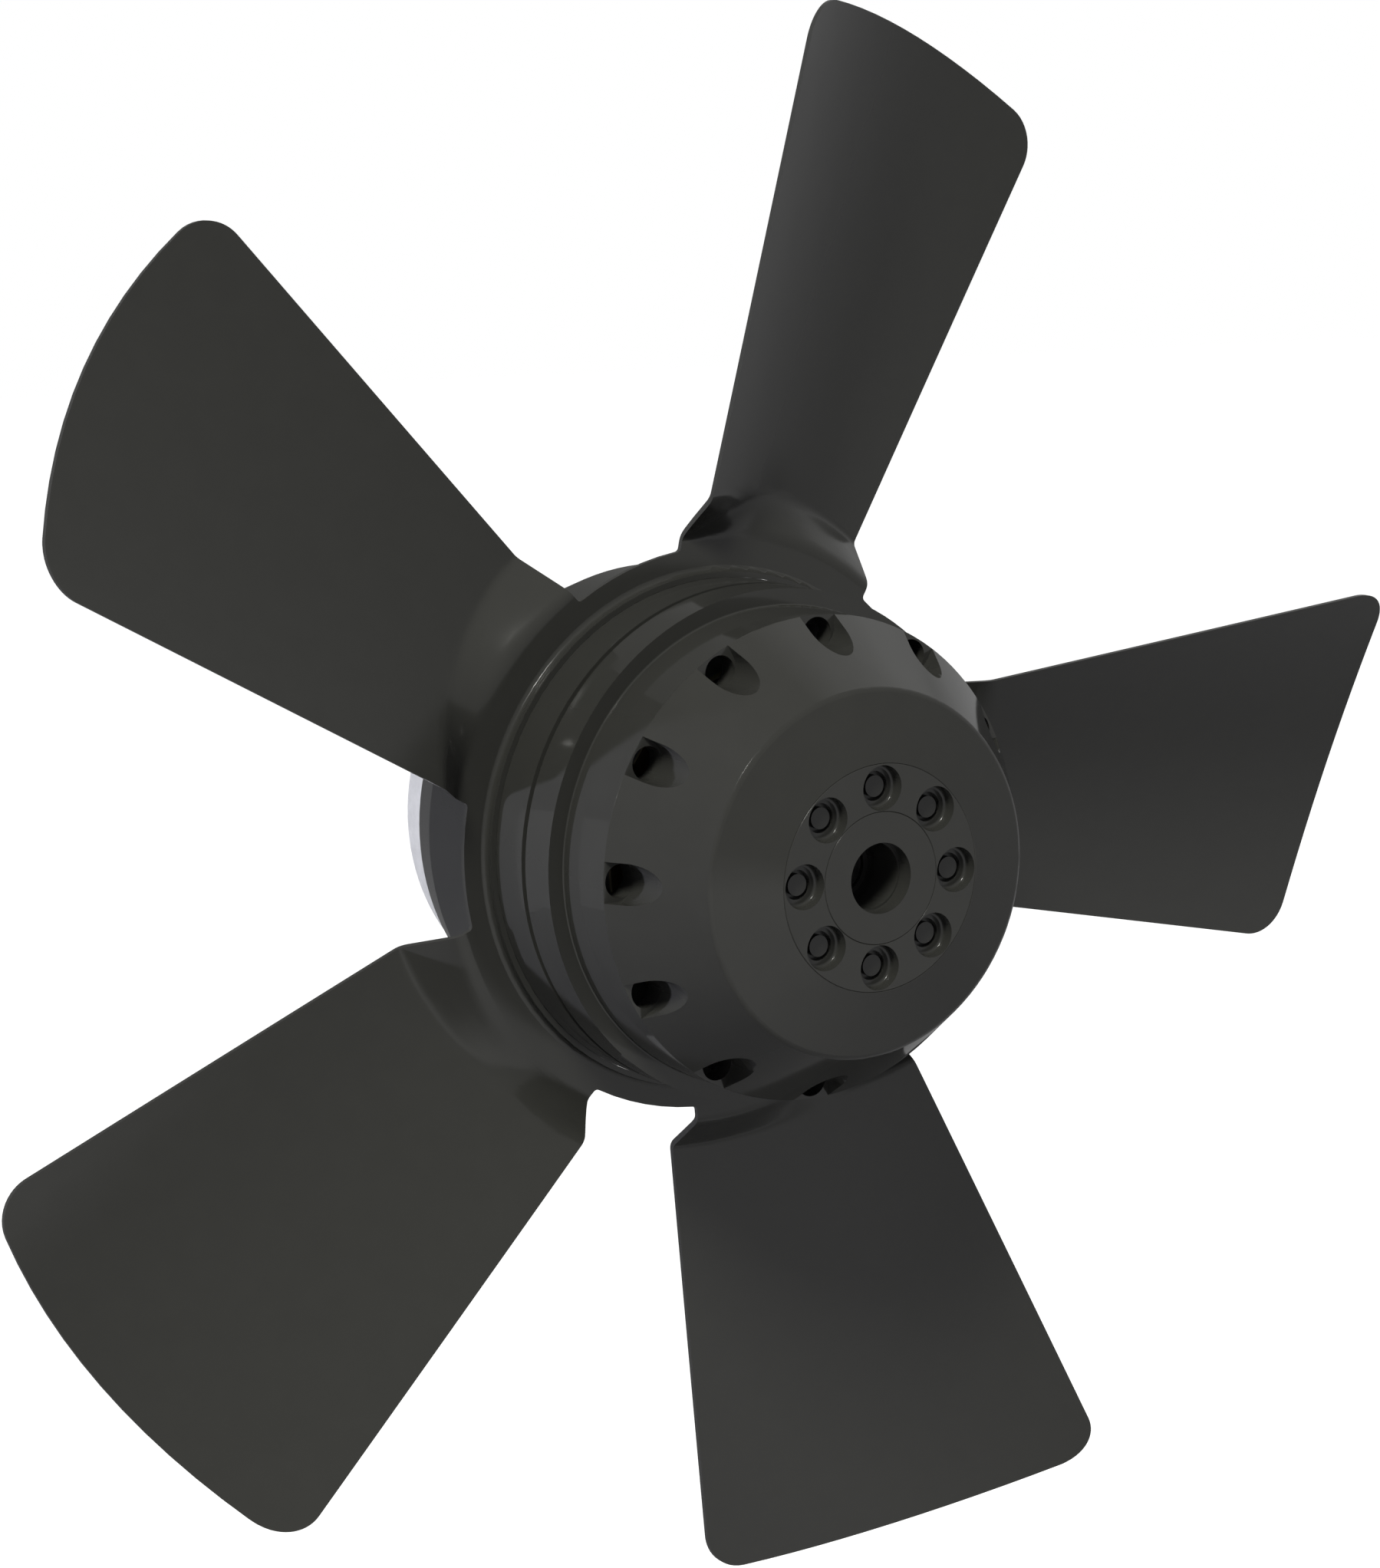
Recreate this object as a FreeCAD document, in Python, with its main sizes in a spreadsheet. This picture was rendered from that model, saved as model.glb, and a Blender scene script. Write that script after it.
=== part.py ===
"""Axial fan: a five-blade pressed steel impeller on its external-rotor motor.

Every piece is drawn in the motor's own axes: z runs along the shaft from the
flange's mounting face to the rotor's nose, and y is up. MOTOR_TO_ROW then lays
the shaft along -Y, so that the nose looks towards -Y and +Z is up.
Lengths are in millimetres and angles in degrees.
"""
import FreeCAD, Part
import math
import os
from types import SimpleNamespace

import Sketcher
from FreeCAD import Placement, Rotation, Vector

MOTOR_TO_ROW = Placement(Vector(0, 0, 0), Rotation(Vector(1, 0, 0), 90))

SIZES = {
    # mounting flange
    "flange_height": 14.0,
    "flange_chamfer": 0.8,
    "flange_inset": 1.6,
    "flange_rim": 3.8,
    "bolt_inset": 9.4,
    "bolt_count": 4,
    "bolt_hole_radius": 2.1,
    "bolt_hole_depth": 10.0,
    "bolt_boss_radius": 6.4,
    "recess_depth": 5.0,
    "tube_wall": 2.5,
    "tube_foot": 2.5,
    "tube_lip": 1.0,
    "seat_lip": 1.2,
    "cable_hole_share": 0.315,
    "cable_radius": 3.0,
    "grommet_lip_width": 1.4,
    "grommet_lip_height": 1.6,
    "grommet_front_lip_width": 0.8,
    "grommet_front_lip_height": 0.8,
    # ball bearings, 10 x 26 x 8
    "bearing_bore_radius": 5.0,
    "bearing_outer_ratio": 2.6,
    "bearing_width": 8.0,
    "race_share": 0.2625,
    "ball_share": 0.2975,
    "ball_gap": 0.06,
    "ball_count": 7,
    "cage_margin": 0.6,
    "rear_bearing_base": 6.0,
    "washer_rise": 1.4,
    "washer_gauge": 0.3,
    "washer_waves": 3,
    "washer_margin": 0.3,
    "cap_base": 1.0,
    "cap_gap": 1.5,
    "cap_gauge": 0.8,
    # stator
    "stack_radius": 34.0,
    "stack_length": 34.0,
    "slot_count": 24,
    "slot_root": 5.5,
    "tooth_tip": 2.5,
    "slot_width": 3.6,
    "slot_mouth": 1.6,
    "liner": 0.2,
    "insulator_gauge": 1.0,
    "winding_gap": 3.0,
    "winding_inset": 1.2,
    "winding_height": 9.0,
    "winding_corner": 3.0,
    "cutout_height": 3.4,
    "cutout_length": 14.0,
    "cutout_width": 6.0,
    "cutout_gap": 0.6,
    "bearing_standoff": 2.0,
    # rotor core and cage
    "air_gap": 0.35,
    "core_depth": 6.65,
    "cage_bar_count": 26,
    "cage_bar_radius": 1.7,
    "cage_bar_inset": 3.5,
    "cage_ring_height": 3.5,
    # rotor bell
    "rim_overlap": 1.0,
    "rim_taper_length": 9.0,
    "rim_taper_depth": 2.9,
    "bell_wall": 5.5,
    "groove_setback": 9.3,
    "groove_width": 1.35,
    "groove_depth": 0.8,
    "nose_length": 13.26,
    "step_depth": 3.1,
    "step_fillet": 0.3,
    "shoulder_fillet": 0.35,
    "cone_rise": 16.84,
    "cone_depth": 10.96,
    "face_rise": 3.78,
    "face_fillet": 1.5,
    "winding_clearance": 2.0,
    "roof_gauge": 4.06,
    "cavity_step_inset": 7.4,
    "cavity_roof_inset": 16.4,
    "web_gauge": 4.0,
    "vent_count": 12,
    "vent_half_width": 3.65,
    "vent_end_inset": 6.1,
    "vent_hole_radius": 3.0,
    "vent_hole_inset": 3.4,
    "vent_hole_overrun": 0.5,
    # hub
    "hub_flange_radius": 20.0,
    "hub_flange_gauge": 6.68,
    "hub_ring_width": 8.38,
    "seam_chamfer": 0.1,
    "web_clearance": 0.68,
    "bush_flange_inset": 0.5,
    "bush_flange_gauge": 3.0,
    "bush_neck_wall": 4.0,
    "hub_bore_radius": 6.24,
    "hub_bore_depth": 3.35,
    "hub_inner_bore_radius": 5.9,
    "shaft_seat_rise": 1.0,
    "rivet_count": 8,
    "rivet_inset": 4.24,
    "rivet_radius": 2.6,
    "rivet_tip_radius": 1.9,
    "rivet_tip_height": 1.2,
    "rivet_tip_stand": 0.1,
    "rivet_recess_radius": 3.98,
    "rivet_recess_depth": 2.5,
    "rivet_recess_fillet": 0.65,
    "rivet_tail_radius": 3.5,
    "rivet_tail_height": 1.5,
    # shaft
    "shaft_stub": 2.5,
    "shaft_chamfer": 0.5,
    "clip_gauge": 1.0,
    "clip_width": 1.8,
    "clip_groove_depth": 0.4,
    "clip_opening": 3.0,
    # pressed impeller
    "sheet_gauge": 1.0,
    "ring_setback": 20.2,
    "ring_width": 5.4,
    "collar_rise": 2.0,
    "collar_bend": 1.0,
    "tip_radius": 150.0,
    "tip_arc_offset": 23.7,
    "tip_arc_shift": 1.7,
    "tip_corner_radius": 8.0,
    "blade_count": 5,
    "blade_phase": 73.8,
    "blade_station": 100.0,
    "blade_setback": 2.84,
    "blade_pitch": 23.07,
    "blade_camber": 0.00521,
    "blade_twist": 0.00043,
    "blade_lean": 0.01507,
    "blade_bow": 0.00015,
    "trailing_offset": 27.11,
    "trailing_flare": 6.44,
    "leading_offset": 32.17,
    "leading_flare": 13.0,
    "fold_gap": 2.7,
    "fold_width": 7.1,
    "fold_softness": 1.0,
    "notch_fillet": 0.9,
    "tab_overlap": 9.0,
    "tab_root": 1.5,
    "tab_margin": 0.6,
    "sheet_margin": 6.0,
    # clearances
    "fit_gap": 0.02,
    "collar_gap": 0.05,
    "cut_margin": 2.0,
}

# heights and radii that follow from the sizes, each from those before it
PLACES = {
    "bearing_outer_radius": "bearing_bore_radius * bearing_outer_ratio",
    "stack_base": "flange_height + cutout_gap + cutout_height + winding_height + insulator_gauge",
    "stack_end": "stack_base + stack_length",
    "front_bearing_base": "stack_end + bearing_standoff",
    "tube_end": "front_bearing_base + bearing_width + tube_lip",
    "cavity_height": "stack_end + insulator_gauge + winding_height + winding_clearance",
    "shoulder_height": "cavity_height + roof_gauge",
    "step_height": "shoulder_height - nose_length",
    "groove_base": "step_height - groove_setback",
    "rim_base": "flange_height - rim_overlap",
    "rim_taper_end": "rim_base + rim_taper_length",
    "face_height": "shoulder_height + cone_rise",
    "nose_height": "face_height + face_rise",
    "hub_seat_height": "nose_height - hub_flange_gauge",
    "web_base": "hub_seat_height - web_gauge",
    "bush_flange_base": "web_base - bush_flange_gauge",
    "shaft_seat_height": "bush_flange_base + shaft_seat_rise",
    "shaft_base": "rear_bearing_base - shaft_stub",
    "cap_rim": "rear_bearing_base - cap_gap",
    "ring_front": "step_height - ring_setback",
    "race_wall": "(bearing_outer_radius - bearing_bore_radius) * race_share",
    "ball_radius": "(bearing_outer_radius - bearing_bore_radius) * ball_share",
    "tube_radius": "bearing_outer_radius + tube_wall",
    "tube_foot_radius": "tube_radius + tube_foot",
    "tube_bore_radius": "bearing_outer_radius - seat_lip",
    "slot_floor_radius": "tube_radius + slot_root",
    "slot_top_radius": "stack_radius - tooth_tip",
    "winding_inner_radius": "tube_radius + winding_gap",
    "winding_outer_radius": "stack_radius - winding_inset",
    "core_outer_radius": "stack_radius + air_gap + core_depth",
    "cage_bar_circle": "core_outer_radius - cage_bar_inset",
    "flange_radius": "core_outer_radius - flange_inset",
    "recess_inner_radius": "winding_inner_radius",
    "recess_outer_radius": "flange_radius - flange_rim",
    "bolt_circle_radius": "flange_radius - bolt_inset",
    "cable_hole_offset": "(recess_inner_radius + recess_outer_radius) / 2",
    "cable_hole_radius": "(recess_outer_radius - recess_inner_radius) * cable_hole_share",
    "rotor_radius": "core_outer_radius + bell_wall",
    "rim_radius": "rotor_radius - rim_taper_depth",
    "nose_radius": "rotor_radius - step_depth",
    "face_radius": "nose_radius - cone_depth",
    "cavity_step_radius": "nose_radius - cavity_step_inset",
    "cavity_roof_radius": "nose_radius - cavity_roof_inset",
    "vent_end_radius": "nose_radius - vent_end_inset",
    "vent_hole_circle": "nose_radius - vent_hole_inset",
    "hub_bush_radius": "hub_flange_radius - hub_ring_width",
    "rivet_circle_radius": "hub_flange_radius - rivet_inset",
    "web_bore_radius": "hub_bush_radius + web_clearance",
    "bush_flange_radius": "hub_flange_radius - bush_flange_inset",
    "bush_neck_radius": "bearing_bore_radius + bush_neck_wall",
    "clip_groove_radius": "bearing_bore_radius - clip_groove_depth",
    "clip_outer_radius": "bearing_bore_radius + clip_width",
    "ring_outer_radius": "rotor_radius + ring_width",
    "fold_start": "ring_outer_radius + fold_gap",
    "fold_end": "fold_start + fold_width",
    "tip_arc_radius": "tip_radius - tip_arc_offset",
}

# an edge or a point counts as being at a place when it is this near to it
CLOSE = 1e-3


class Size:
    """A number together with the sheet expression that it follows."""

    def __init__(self, value, text):
        self.value = value
        self.text = text

    def join(self, sign, other, value):
        return Size(value, f"({self.text} {sign} {other.text})")

    def __add__(self, other):
        other = as_size(other)
        return self.join("+", other, self.value + other.value)

    def __sub__(self, other):
        other = as_size(other)
        return self.join("-", other, self.value - other.value)

    def __mul__(self, other):
        other = as_size(other)
        return self.join("*", other, self.value * other.value)

    def __truediv__(self, other):
        other = as_size(other)
        return self.join("/", other, self.value / other.value)

    def __neg__(self):
        return Size(-self.value, f"(0 - {self.text})")


def as_size(number):
    return number if isinstance(number, Size) else Size(float(number), str(float(number)))


def slope_of(angle):
    """The tangent of an angle size, in degrees."""
    return Size(math.tan(math.radians(angle.value)), f"tan({angle.text} * 1 deg)")


def make_sheet():
    """Write the sizes and the places into a sheet, and return them by name."""
    sheet = doc.addObject("Spreadsheet::Sheet", "Sizes")
    cells = {name: str(value) for name, value in SIZES.items()}
    cells.update({name: f"={rule}" for name, rule in PLACES.items()})
    for row, (name, content) in enumerate(cells.items(), start=1):
        sheet.set(f"A{row}", name)
        sheet.set(f"B{row}", content)
        sheet.setAlias(f"B{row}", name)
        sheet.recompute()
    return SimpleNamespace(**{name: Size(float(sheet.get(name)), f"Sizes.{name}") for name in cells})


def new_body(name):
    body = doc.addObject("PartDesign::Body", name)
    body.Label = name
    return body


def plane_of(body, role):
    return next(item for item in body.Origin.OriginFeatures if item.Role == role)


def new_sketch(body, name, plane="XY_Plane", height=None):
    """A sketch on one of the body's own planes, lifted to a height along the shaft."""
    sketch = body.newObject("Sketcher::SketchObject", name)
    sketch.AttachmentSupport = [(plane_of(body, plane), "")]
    sketch.MapMode = "FlatFace"
    if height is not None:
        sketch.setExpression("AttachmentOffset.Base.z", height.text)
    return sketch


def bind(sketch, index, size):
    sketch.setExpression(f"Constraints[{index}]", size.text)


def hold_point(sketch, edge, end, x, y):
    """Hold one end of an edge at x, y."""
    for kind, axis, size in (("DistanceX", -2, as_size(x)), ("DistanceY", -1, as_size(y))):
        if size.value == 0:
            sketch.addConstraint(Sketcher.Constraint("PointOnObject", edge, end, axis))
        elif size.value > 0:
            index = sketch.addConstraint(Sketcher.Constraint(kind, -1, 1, edge, end, size.value))
            bind(sketch, index, size)
        else:
            index = sketch.addConstraint(Sketcher.Constraint(kind, edge, end, -1, 1, -size.value))
            bind(sketch, index, -size)


def draw_outline(sketch, corners):
    """A closed outline of straight edges through the corners."""
    points = [Vector(as_size(x).value, as_size(y).value, 0) for x, y in corners]
    first = sketch.GeometryCount
    count = len(points)
    for i in range(count):
        sketch.addGeometry(Part.LineSegment(points[i], points[(i + 1) % count]), False)
    for i, (x, y) in enumerate(corners):
        following = first + (i + 1) % count
        sketch.addConstraint(Sketcher.Constraint("Coincident", first + i, 2, following, 1))
        hold_point(sketch, first + i, 1, x, y)


def draw_circle(sketch, x, y, radius):
    centre = Vector(as_size(x).value, as_size(y).value, 0)
    edge = sketch.addGeometry(Part.Circle(centre, Vector(0, 0, 1), radius.value), False)
    hold_point(sketch, edge, 3, x, y)
    bind(sketch, sketch.addConstraint(Sketcher.Constraint("Radius", edge, radius.value)), radius)


def revolve(body, name, corners):
    """Add a ring whose section, given as radius and height, turns about the shaft."""
    sketch = new_sketch(body, f"{name}_section", "XZ_Plane")
    draw_outline(sketch, corners)
    turn = body.newObject("PartDesign::Revolution", name)
    turn.Profile = sketch
    turn.ReferenceAxis = (sketch, ["V_Axis"])
    turn.Angle = 360.0
    body.Tip = turn
    return turn


def turned(name, corners):
    body = new_body(name)
    revolve(body, f"{name}_turn", corners)
    return body


def pad(body, sketch, name, length):
    feature = body.newObject("PartDesign::Pad", name)
    feature.Profile = sketch
    feature.setExpression("Length", as_size(length).text)
    body.Tip = feature
    return feature


def pocket(body, sketch, name, depth, forwards=False):
    """Cut towards the flange, or towards the nose when forwards is set."""
    feature = body.newObject("PartDesign::Pocket", name)
    feature.Profile = sketch
    feature.Reversed = forwards
    feature.setExpression("Length", as_size(depth).text)
    body.Tip = feature
    return feature


def repeat(body, feature, name, count):
    """Repeat a feature evenly round the shaft."""
    pattern = body.newObject("PartDesign::PolarPattern", name)
    pattern.Originals = [feature]
    pattern.Axis = (feature.Profile[0], ["N_Axis"])
    pattern.Angle = 360.0
    pattern.setExpression("Occurrences", count.text)
    body.Tip = pattern
    return pattern


def round_edges(shape, radius, height):
    """Names of the circular edges about the shaft at a radius and a height."""
    names = []
    for number, edge in enumerate(shape.Edges, start=1):
        curve = edge.Curve
        if not isinstance(curve, Part.Circle):
            continue
        off_shaft = math.hypot(curve.Center.x, curve.Center.y)
        off_radius = abs(curve.Radius - radius.value)
        off_height = abs(curve.Center.z - height.value)
        if max(off_shaft, off_radius, off_height) < CLOSE:
            names.append(f"Edge{number}")
    return names


def dress(body, kind, name, size, places):
    """Fillet or chamfer the circular edges at the places, each a radius and a height."""
    doc.recompute()
    base = body.Tip
    edges = [edge for radius, height in places for edge in round_edges(base.Shape, radius, height)]
    if not edges:
        raise RuntimeError(f"{name}: no edge found")
    feature = body.newObject(f"PartDesign::{kind}", name)
    feature.Base = (base, edges)
    feature.setExpression("Radius" if kind == "Fillet" else "Size", size.text)
    body.Tip = feature
    return feature


def make_stator_flange():
    """Cast flange with its bearing tube, tapped bosses, recesses and cable hole."""
    seat = s.bearing_outer_radius + s.fit_gap
    rear_seat_end = s.rear_bearing_base + s.bearing_width
    front_seat = s.front_bearing_base - s.washer_rise
    foot_end = s.stack_base - s.insulator_gauge
    body = turned("stator_flange", [
        (seat, 0),
        (s.flange_radius, 0),
        (s.flange_radius, s.flange_height),
        (s.tube_foot_radius, s.flange_height),
        (s.tube_foot_radius, foot_end),
        (s.tube_radius, foot_end),
        (s.tube_radius, s.tube_end),
        (seat, s.tube_end),
        (seat, front_seat),
        (s.tube_bore_radius, front_seat),
        (s.tube_bore_radius, rear_seat_end),
        (seat, rear_seat_end),
    ])
    dress(body, "Chamfer", "flange_rim", s.flange_chamfer, [(s.flange_radius, as_size(0))])
    ring = new_sketch(body, "recess_outline")
    draw_circle(ring, 0, 0, s.recess_outer_radius)
    draw_circle(ring, 0, 0, s.recess_inner_radius)
    pocket(body, ring, "recess", s.recess_depth, forwards=True)
    along = s.bolt_circle_radius / math.sqrt(2)
    boss = new_sketch(body, "boss_outline")
    draw_circle(boss, along, along, s.bolt_boss_radius)
    repeat(body, pad(body, boss, "boss", s.recess_depth), "bosses", s.bolt_count)
    hole = new_sketch(body, "bolt_hole_outline")
    draw_circle(hole, along, along, s.bolt_hole_radius)
    bolt_hole = pocket(body, hole, "bolt_hole", s.bolt_hole_depth, forwards=True)
    repeat(body, bolt_hole, "bolt_holes", s.bolt_count)
    outlet = new_sketch(body, "cable_hole_outline")
    draw_circle(outlet, 0, -s.cable_hole_offset, s.cable_hole_radius)
    pocket(body, outlet, "cable_hole", s.flange_height, forwards=True)
    return body


def make_bearing(place, base):
    """The races, cage and balls of one bearing, whose rear face is at base."""
    top = base + s.bearing_width
    middle = base + s.bearing_width / 2
    circle = (s.bearing_bore_radius + s.bearing_outer_radius) / 2
    track = s.ball_radius + s.ball_gap
    walls = {
        "outer": (s.bearing_outer_radius - s.race_wall, s.bearing_outer_radius),
        "inner": (s.bearing_bore_radius, s.bearing_bore_radius + s.race_wall),
    }
    pieces = []
    for side, (near, far) in walls.items():
        name = f"{place}_{side}_race"
        body = turned(name, [(near, base), (far, base), (far, top), (near, top)])
        sketch = new_sketch(body, f"{name}_track_section", "XZ_Plane")
        draw_circle(sketch, circle, middle, track)
        groove = body.newObject("PartDesign::Groove", f"{name}_track")
        groove.Profile = sketch
        groove.ReferenceAxis = (sketch, ["V_Axis"])
        groove.Angle = 360.0
        body.Tip = groove
        pieces.append(body)
    cage_half = s.ball_radius + s.cage_margin
    cage_wall = s.race_wall / 4
    cage = turned(f"{place}_cage", [
        (circle - cage_wall, middle - cage_half),
        (circle + cage_wall, middle - cage_half),
        (circle + cage_wall, middle + cage_half),
        (circle - cage_wall, middle + cage_half),
    ])
    window = new_sketch(cage, f"{place}_window_outline", "YZ_Plane")
    draw_circle(window, 0, middle, track)
    cut = pocket(cage, window, f"{place}_window", s.bearing_outer_radius, forwards=True)
    pattern = cage.newObject("PartDesign::PolarPattern", f"{place}_windows")
    pattern.Originals = [cut]
    pattern.Axis = (plane_of(cage, "Z_Axis"), [""])
    pattern.Angle = 360.0
    pattern.setExpression("Occurrences", s.ball_count.text)
    cage.Tip = pattern
    pieces.append(cage)
    balls = doc.addObject("Part::MultiFuse", f"{place}_balls")
    spheres = []
    for i in range(int(s.ball_count.value)):
        ball = doc.addObject("Part::Sphere", f"{place}_ball_{i + 1}")
        ball.setExpression("Radius", s.ball_radius.text)
        turn = f"(360 deg * {i} / {s.ball_count.text})"
        ball.setExpression("Placement.Base.x", f"{circle.text} * cos{turn}")
        ball.setExpression("Placement.Base.y", f"{circle.text} * sin{turn}")
        ball.setExpression("Placement.Base.z", middle.text)
        spheres.append(ball)
    balls.Shapes = spheres
    balls.Label = f"{place}_balls"
    pieces.append(balls)
    return pieces


def make_wave_washer():
    """Spring washer that loads the front bearing, waved between seat and race."""
    low = s.front_bearing_base.value - s.washer_rise.value
    swing = (s.washer_rise.value - s.washer_gauge.value - 2 * s.fit_gap.value) / 2
    waves = int(s.washer_waves.value)
    inner = s.bearing_outer_radius.value - s.race_wall.value
    outer = s.bearing_outer_radius.value - s.washer_margin.value
    steps = 12 * waves

    def wavy_edge(radius):
        curve = Part.BSplineCurve()
        points = []
        for i in range(steps):
            angle = 2 * math.pi * i / steps
            height = low + s.fit_gap.value + swing * (1 + math.cos(waves * angle))
            points.append(Vector(radius * math.cos(angle), radius * math.sin(angle), height))
        curve.interpolate(points, PeriodicFlag=True)
        return curve.toShape()

    face = Part.makeRuledSurface(wavy_edge(inner), wavy_edge(outer))
    washer = doc.addObject("Part::Feature", "wave_washer")
    washer.Shape = face.extrude(Vector(0, 0, s.washer_gauge.value))
    return washer


def make_bearing_cap():
    """Pressed cap that closes the rear end of the bearing tube."""
    rim = s.bearing_outer_radius
    return turned("bearing_cap", [
        (0, s.cap_base),
        (rim, s.cap_base),
        (rim, s.cap_rim),
        (rim - s.cap_gauge, s.cap_rim),
        (rim - s.cap_gauge, s.cap_base + s.cap_gauge),
        (0, s.cap_base + s.cap_gauge),
    ])


def make_cable_grommet():
    """Rubber bush in the flange's cable hole, with a lip each side."""
    body = new_body("cable_grommet")
    lip = s.grommet_lip_height
    front_lip = s.grommet_front_lip_height
    rear_radius = s.cable_hole_radius + s.grommet_lip_width
    front_radius = s.cable_hole_radius + s.grommet_front_lip_width
    neck_radius = s.cable_hole_radius - s.fit_gap
    layers = [
        ("rear_lip", s.recess_depth - lip, rear_radius, lip),
        ("neck", s.recess_depth, neck_radius, s.flange_height - s.recess_depth),
        ("front_lip", s.flange_height, front_radius, front_lip),
    ]
    for name, height, radius, length in layers:
        sketch = new_sketch(body, f"grommet_{name}_outline", height=height)
        draw_circle(sketch, 0, -s.cable_hole_offset, radius)
        pad(body, sketch, f"grommet_{name}", length)
    bore = new_sketch(body, "grommet_bore_outline")
    draw_circle(bore, 0, -s.cable_hole_offset, s.cable_radius)
    pocket(body, bore, "grommet_bore", s.flange_height * 2, forwards=True)
    return body


def slot_pocket(body, name, height, length):
    """Cut the winding slots, open at the rim, through a plate that starts at height."""
    half = s.slot_width / 2
    mouth = s.slot_mouth / 2
    sketch = new_sketch(body, f"{name}_slot_outline", height=height)
    draw_outline(sketch, [
        (s.slot_floor_radius, -half),
        (s.slot_top_radius, -half),
        (s.slot_top_radius, -mouth),
        (s.stack_radius + s.cut_margin, -mouth),
        (s.stack_radius + s.cut_margin, mouth),
        (s.slot_top_radius, mouth),
        (s.slot_top_radius, half),
        (s.slot_floor_radius, half),
    ])
    slot = pocket(body, sketch, f"{name}_slot", length, forwards=True)
    repeat(body, slot, f"{name}_slots", s.slot_count)


def make_slotted_ring(name, base, length):
    inner = s.tube_radius + s.fit_gap
    body = turned(name, [
        (inner, base),
        (s.stack_radius, base),
        (s.stack_radius, base + length),
        (inner, base + length),
    ])
    slot_pocket(body, name, base, length)
    return body


def make_winding():
    """Coil heads joined by the coil sides that lie in the slots."""
    rear = s.stack_base - s.insulator_gauge - s.winding_height
    front = s.stack_end + s.insulator_gauge
    cut = s.winding_corner
    body = new_body("winding")

    def head(name, low, high, crown, seat):
        """A coil head between its seat and its rounded crown."""
        inwards = cut if crown.value < seat.value else -cut
        revolve(body, name, [
            (s.winding_inner_radius, seat),
            (s.winding_outer_radius, seat),
            (s.winding_outer_radius, crown + inwards),
            (s.winding_outer_radius - cut, crown),
            (s.winding_inner_radius + cut, crown),
            (s.winding_inner_radius, crown + inwards),
        ])

    head("rear_head", rear, rear + s.winding_height, rear, rear + s.winding_height)
    side = new_sketch(body, "coil_side_outline", height=rear + s.winding_height)
    half = s.slot_width / 2 - s.liner
    draw_outline(side, [
        (s.slot_floor_radius + s.liner, -half),
        (s.slot_top_radius - s.liner, -half),
        (s.slot_top_radius - s.liner, half),
        (s.slot_floor_radius + s.liner, half),
    ])
    repeat(body, pad(body, side, "coil_side", front - (rear + s.winding_height)), "coil_sides", s.slot_count)
    head("front_head", front, front + s.winding_height, front + s.winding_height, front)
    return body


def make_thermal_cutout():
    """Flat temperature switch on the rear coil head."""
    crown = s.stack_base - s.insulator_gauge - s.winding_height
    body = new_body("thermal_cutout")
    sketch = new_sketch(body, "cutout_outline", height=crown - s.cutout_height)
    middle = (s.winding_inner_radius + s.winding_outer_radius) / 2
    along = s.cutout_length / 2
    low = middle - s.cutout_width / 2
    high = middle + s.cutout_width / 2
    draw_outline(sketch, [(-along, low), (along, low), (along, high), (-along, high)])
    pad(body, sketch, "cutout", s.cutout_height)
    return body


def make_rotor_core():
    """Ring of laminations with a hole for each cage bar."""
    inner = s.stack_radius + s.air_gap
    body = turned("rotor_core", [
        (inner, s.stack_base),
        (s.core_outer_radius, s.stack_base),
        (s.core_outer_radius, s.stack_end),
        (inner, s.stack_end),
    ])
    sketch = new_sketch(body, "bar_hole_outline", height=s.stack_base)
    draw_circle(sketch, s.cage_bar_circle, 0, s.cage_bar_radius + s.fit_gap)
    bar_hole = pocket(body, sketch, "bar_hole", s.stack_length, forwards=True)
    repeat(body, bar_hole, "bar_holes", s.cage_bar_count)
    return body


def make_squirrel_cage():
    """Two end rings joined by the bars, cast in one."""
    inner = s.stack_radius + s.air_gap * 2
    body = new_body("squirrel_cage")

    def end_ring(name, base):
        top = base + s.cage_ring_height
        revolve(body, name, [
            (inner, base),
            (s.core_outer_radius, base),
            (s.core_outer_radius, top),
            (inner, top),
        ])

    end_ring("rear_end_ring", s.stack_base - s.cage_ring_height)
    sketch = new_sketch(body, "cage_bar_outline", height=s.stack_base)
    draw_circle(sketch, s.cage_bar_circle, 0, s.cage_bar_radius)
    repeat(body, pad(body, sketch, "cage_bar", s.stack_length), "cage_bars", s.cage_bar_count)
    end_ring("front_end_ring", s.stack_end)
    return body


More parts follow.
